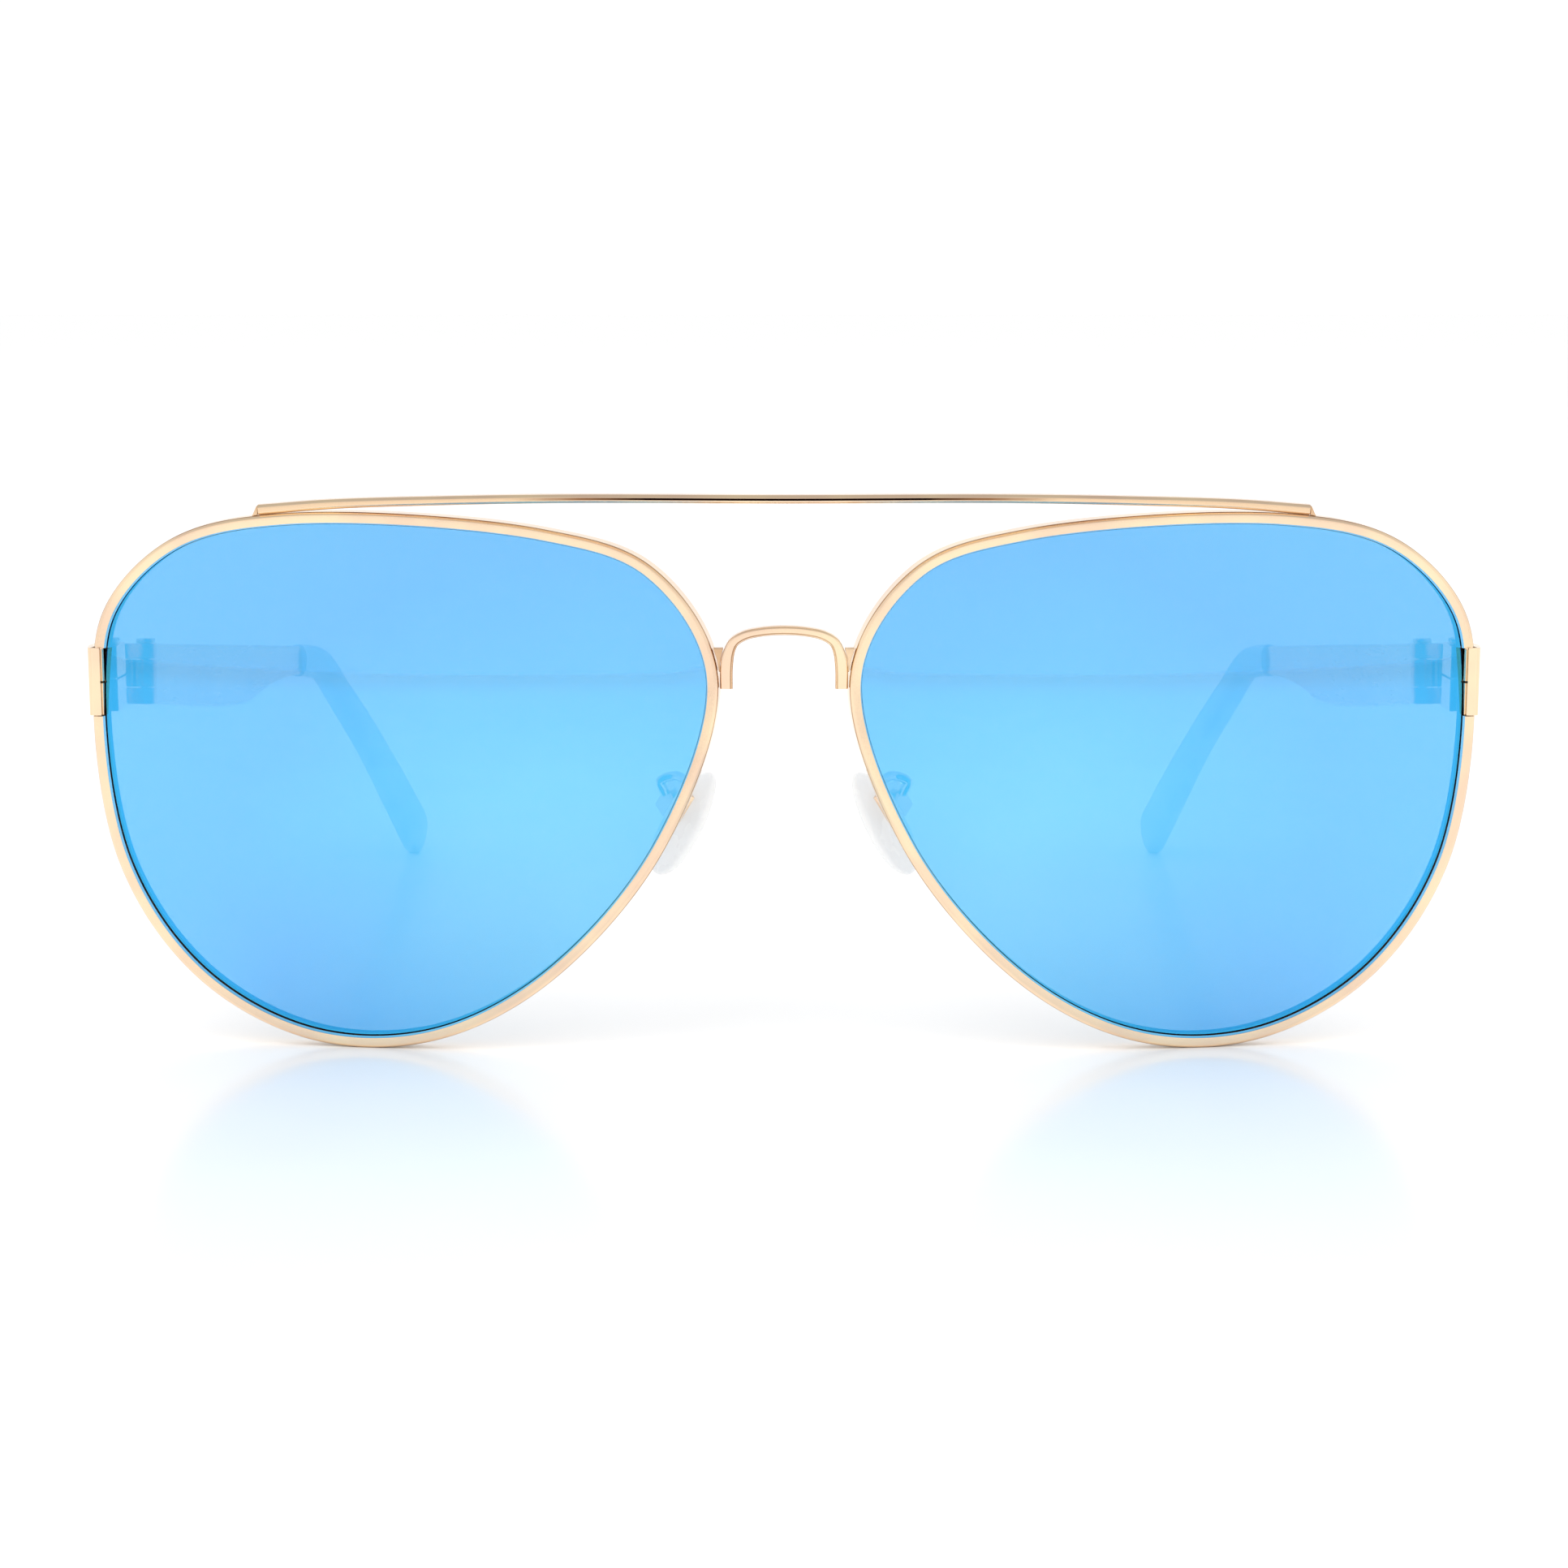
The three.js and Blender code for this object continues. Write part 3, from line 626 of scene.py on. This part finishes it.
def add_bridge():
    line = [Vector((-x, y, z)) for x, y, z in ARCH_LINE[:-1]]
    line += [Vector(p) for p in reversed(ARCH_LINE)]

    def section(t):
        from_crown = min(1, abs(2 * t - 1) / ARCH_FOOT_SHARE)
        width = ARCH_CROWN_WIDTH + (ARCH_FOOT_WIDTH - ARCH_CROWN_WIDTH) * from_crown**3
        return chamfered_box(width, ARCH_DEPTH, ARCH_CHAMFER)

    rings = sweep_rings(line, 200, Vector((0, 1, 0)), section)
    # The lower front corners take slot 1, the darker gold: painted shade.
    bm = skin_mesh(rings, leaning_frame(), slot_of=corner_slot({4, 5}))
    golds = [gold, gold_painted_edge_shade]
    finish_mesh("bridge_arch.formed", bm, golds, "front", ["bridge_arch"], "gold_wire")


# ---- Temples -----------------------------------------------------------------------------------


def blade_rings(stations, steps, ring_of):
    line = [Vector((across, length, up)) for length, across, up, *_ in stations]
    size = [Vector((s[3], s[4] if len(s) > 4 else TEMPLE_THICKNESS, 0)) for s in stations]
    rings = []
    for i in range(steps + 1):
        t = i / steps
        along = curve_tangent(line, t)
        side = along.cross(Vector((0, 0, 1))).normalized()
        up = side.cross(along).normalized()
        at = curve_point(line, t)
        height, thickness, _ = curve_point(size, t)
        rings.append([at + side * u + up * v for u, v in ring_of(thickness, height)])
    return rings


def oval(thickness, height, count=40):
    ring = []
    for k in range(count):
        angle = k / count * 2 * math.pi
        u = math.copysign(abs(math.cos(angle)) ** TIP_SQUARENESS, math.cos(angle))
        v = math.copysign(abs(math.sin(angle)) ** TIP_SQUARENESS, math.sin(angle))
        ring.append((u * thickness / 2, v * height / 2))
    return ring


def add_temple(side):
    body = f"{side}_temple_body"
    core = [TEMPLE_LINE[-1], *[s for s in TIP_LINE[1:] if s[0] < CORE_END]]
    core = [(length, across, up, CORE_HEIGHT, CORE_THICKNESS) for length, across, up, *_ in core]

    def section(width, height):
        return chamfered_box(width, height, FLAT_CHAMFER, BLADE_ROUNDING)

    plate = blade_rings(TEMPLE_LINE, 96, section)
    wire = blade_rings(core, 48, section)
    bm = skin_mesh([*plate, *wire], hinge_frame(side))
    name = f"{side}_temple"
    finish_mesh(name + ".blade", bm, blade_gold, body, [name], "gold_wire", math.radians(40))


def add_tip(side):
    rings = blade_rings(TIP_LINE, 90, oval)
    mouth = rings[0]
    centre = sum(mouth, Vector()) / len(mouth)
    rings.insert(0, [centre.lerp(p, 0.9) - Vector((0, 0.01, 0)) for p in mouth])
    end, before = TIP_LINE[-1], TIP_LINE[-2]
    along = Vector((end[1] - before[1], end[0] - before[0], end[2] - before[2])).normalized()
    last = rings[-1]
    centre = sum(last, Vector()) / len(last)
    for degrees in TIP_END_ANGLES:
        angle = math.radians(degrees)
        reach = along * math.sin(angle) * end[3] / 2
        rings.append([centre + (p - centre) * math.cos(angle) + reach for p in last])
    bm = skin_mesh(rings, hinge_frame(side))
    body = f"{side}_temple_body"
    replaced = [f"{side}_temple_tip"]
    finish_mesh(f"{side}_tip.sleeve", bm, clear_tip, body, replaced, "clear_tip")


# ---- Nose pads ---------------------------------------------------------------------------------


def add_nose_pad(side):
    half = PAD_THICKNESS / 2
    profile = [
        (0.0, -half, 0), (0.35, -half, 0), (0.7, -half * 0.9, 0), (0.92, -half * 0.6, 0), (1, 0, 0),
        (0.93, half * 0.55, 0), (0.7, half * 0.8, 0), (0.35, half * 0.85, 0), (0.0, half * 0.86, 0),
    ]
    profile = [Vector(p) for p in profile]
    levels = 40
    rings = []
    for i in range(1, levels):
        share, z, _ = curve_point(profile, i / levels)
        ring = []
        for k in range(64):
            angle = k / 64 * 2 * math.pi
            y = math.sin(angle)
            x = math.cos(angle) * (1 - PAD_TAPER * y)
            ring.append(Vector((x * PAD_HALF_WIDTH * share, y * PAD_HALF_LENGTH * share, z)))
        rings.append(ring)
    bm = skin_mesh(rings, leaning_frame(side) @ pad_matrix())
    name = f"{side}_nose_pad"
    finish_mesh(name + ".drop", bm, silicone, f"{side}_pad_body", [name], "silicone")


def add_pad_arm(side):
    box_back = pad_matrix() @ Vector((0, PAD_BOX_LIFT + PAD_ARM_LIFT, PAD_BOX_BACK))
    line = [Vector(p) for p in PAD_ARM_START]
    line += [box_back + PAD_ARM_BEND, box_back]
    steps, sides = 90, 20
    side_way = Vector((1, 0, 0))
    rings = []
    for i in range(steps + 1):
        t = i / steps
        tangent = curve_tangent(line, t)
        side_way = (side_way - tangent * side_way.dot(tangent)).normalized()
        up = tangent.cross(side_way)
        turn = [k / sides * 2 * math.pi for k in range(sides)]
        at = curve_point(line, t)
        reaches = [side_way * math.cos(a) + up * math.sin(a) for a in turn]
        rings.append([at + reach * PAD_ARM_RADIUS for reach in reaches])
    bm = skin_mesh(rings, leaning_frame(side))
    finish_mesh(f"{side}_pad_arm.wire", bm, gold, "front", [f"{side}_pad_arm"], "gold_wire")


# ---- The object --------------------------------------------------------------------------------

SOFTENED = {
    "end_piece": (gold, "gold_wire", 0.12),
    "closing_block_upper": (gold, "gold_wire", 0.06),
    "closing_block_lower": (gold, "gold_wire", 0.06),
    "front_hinge": (gold, "gold_wire", 0.1),
    "temple_hinge": (gold, "gold_wire", 0.1),
    "bar_foot": (solder, "solder", 0.08),
    "bridge_solder": (solder, "solder", 0.1),
    "rim_screw": (steel, "screw_steel", 0.06),
    "hinge_screw": (steel, "screw_steel", 0.08),
    "pad_screw": (steel, "screw_steel", 0.05),
    "pad_box": (gold, "gold_wire", 0.12),
    "pad_stem": (pad_plastic, "pad_plastic", 0.1),
}

add_brow_bar()
add_bridge()
for side in ("right", "left"):
    add_rim(side)
    add_lens(side)
    add_temple(side)
    add_tip(side)
    add_nose_pad(side)
    add_pad_arm(side)
    for kind, (material, slot, width) in SOFTENED.items():
        softened(f"{side}_{kind}", material, slot, width)

# ---- Studio ------------------------------------------------------------------------------------


def add_floor():
    material, tree, shader = base_material("studio_floor", Roughness=0.16)
    shader.inputs["Specular IOR Level"].default_value = 0.18
    clouds = noise(tree, 30, 2)
    colour = ramp(tree, clouds, [(0.3, (0.9, 0.9, 0.9)), (0.7, (0.915, 0.915, 0.915))])
    link(tree, colour, shader.inputs["Base Color"])
    bm = bmesh.new()
    bmesh.ops.create_grid(bm, x_segments=8, y_segments=8, size=FLOOR_HALF_SIZE)
    mesh = bpy.data.meshes.new("floor")
    bm.to_mesh(mesh)
    bm.free()
    mesh.materials.append(material)
    floor = bpy.data.objects.new("floor", mesh)
    bpy.context.scene.collection.objects.link(floor)


def add_world():
    """A white room: bright overhead, dimmer at eye level, and white where the camera sees it."""
    world = bpy.data.worlds.new("studio")
    bpy.context.scene.world = world
    world.use_nodes = True
    tree = world.node_tree
    background = tree.nodes["Background"]
    coordinates = tree.nodes.new("ShaderNodeTexCoord")
    parts = tree.nodes.new("ShaderNodeSeparateXYZ")
    link(tree, coordinates.outputs["Generated"], parts.inputs["Vector"])
    height = value_range(tree, parts.outputs["Z"], 0, 1, 0.0, 1.0)
    sky = ramp(tree, height, [
        (0.0, (1.075, 1.075, 1.075)), (0.4, (1.03, 1.03, 1.03)), (0.62, (0.85, 0.85, 0.85)),
        (0.9, (0.6, 0.6, 0.6)),
    ])
    path = tree.nodes.new("ShaderNodeLightPath")
    seen = tree.nodes.new("ShaderNodeMix")
    seen.data_type = "RGBA"
    for socket in seen.inputs:
        if socket.type == "RGBA" and socket.name == "B":
            socket.default_value = (1.06, 1.06, 1.06, 1)
        if socket.type == "RGBA" and socket.name == "A":
            link(tree, sky, socket)
    link(tree, path.outputs["Is Camera Ray"], seen.inputs["Factor"])
    result = [s for s in seen.outputs if s.type == "RGBA"][0]
    link(tree, result, background.inputs["Color"])


def add_softbox(name, place, target, size, power):
    data = bpy.data.lights.new(name, "AREA")
    data.shape = "RECTANGLE"
    data.size, data.size_y = size
    data.energy = power
    light = bpy.data.objects.new(name, data)
    light.location = place
    light.visible_glossy = False
    light.rotation_euler = (Vector(target) - Vector(place)).to_track_quat("-Z", "Y").to_euler()
    bpy.context.scene.collection.objects.link(light)


def add_sun():
    """Even, nearly shadowless light on the whole floor; it makes no highlight."""
    data = bpy.data.lights.new("ceiling", "SUN")
    data.energy = SUN_POWER
    data.angle = math.radians(120)
    light = bpy.data.objects.new("ceiling", data)
    light.rotation_euler = (math.radians(-12), 0, 0)
    light.visible_glossy = False
    bpy.context.scene.collection.objects.link(light)


def add_camera():
    data = bpy.data.cameras.new("camera")
    data.sensor_width = 36
    data.lens = CAMERA_LENS
    camera = bpy.data.objects.new("camera", data)
    camera.location = CAMERA_PLACE
    camera.rotation_euler = (math.radians(90) - CAMERA_PITCH, 0, 0)
    bpy.context.scene.collection.objects.link(camera)
    bpy.context.scene.camera = camera


add_floor()
add_world()
add_softbox("key", (-0.5, -0.6, 0.9), (0, 0, 0.02), (0.8, 0.8), 3)
add_softbox("fill", (0.6, -0.5, 0.7), (0, 0, 0.02), (0.8, 0.8), 2)
add_softbox("back", (0.0, 0.9, 0.9), (0, 0, 0.02), (1.2, 0.6), 3)
add_sun()
add_camera()
bpy.context.scene.view_settings.view_transform = "Standard"
